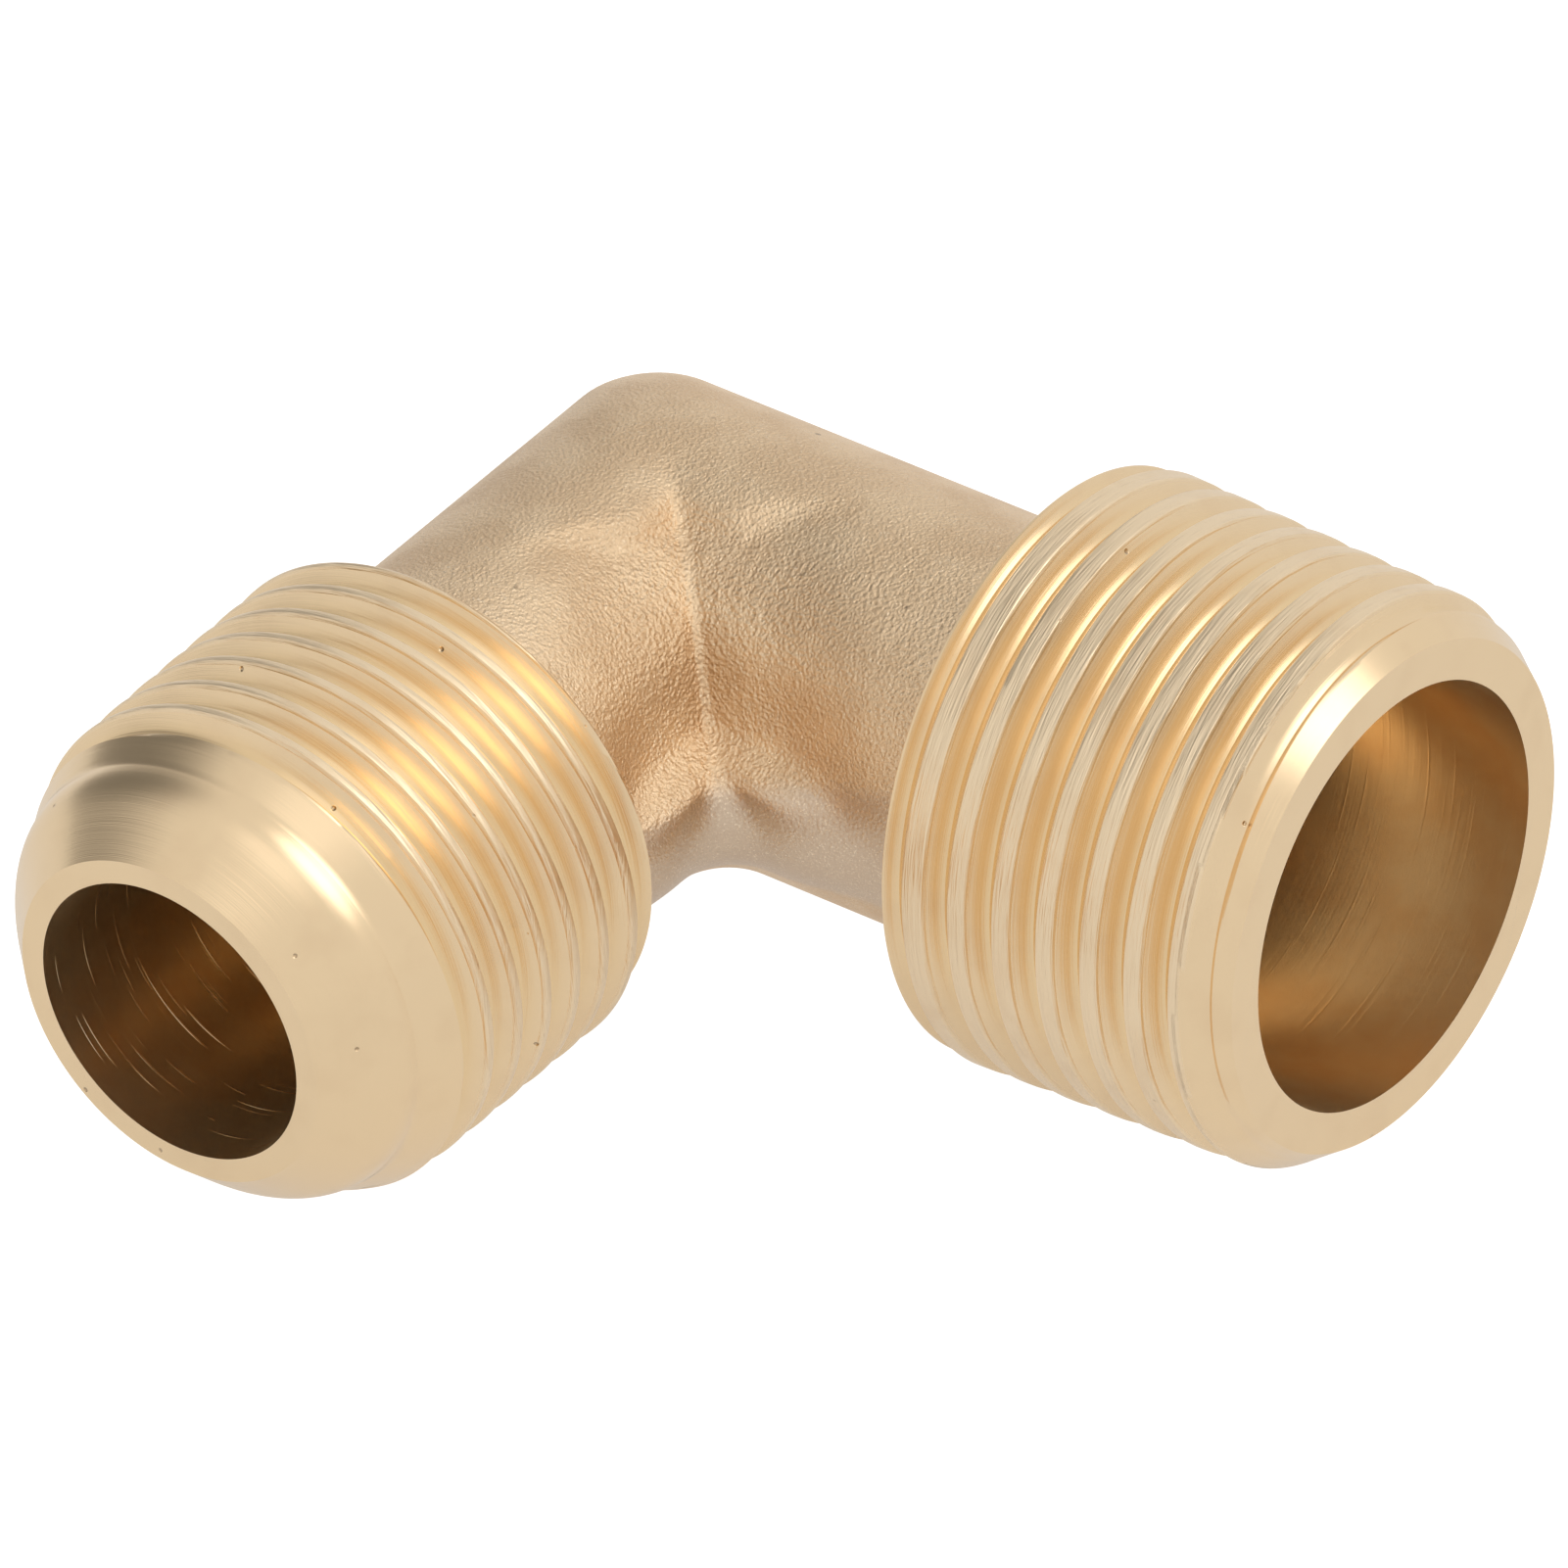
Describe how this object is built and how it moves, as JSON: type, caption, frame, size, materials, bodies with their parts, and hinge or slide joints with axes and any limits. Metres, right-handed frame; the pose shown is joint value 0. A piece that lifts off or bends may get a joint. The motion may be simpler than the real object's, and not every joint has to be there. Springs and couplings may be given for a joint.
{
  "type": "flare elbow fitting",
  "caption": "Brass 90 degree elbow that joins a flared copper tube to a pipe-threaded port: male flare nose and straight thread on one leg, male taper pipe thread on the other.",
  "frame": {"origin": "on the surface the elbow lies on, under the middle of its bounding box; the two bore axes cross at x -0.01065, y 0.00876, z 0.01078", "axes": "+X along the pipe-thread leg towards its open end, -Y along the flare leg towards its nose, +Z square to the plane of the two bore axes"},
  "size_m": [0.0404, 0.039, 0.0215],
  "materials": {
    "brass": "blasted forging with bright turned threads and bores"
  },
  "bodies": {
    "root": {"elbow_body": "brass"}
  },
  "joints": []
}
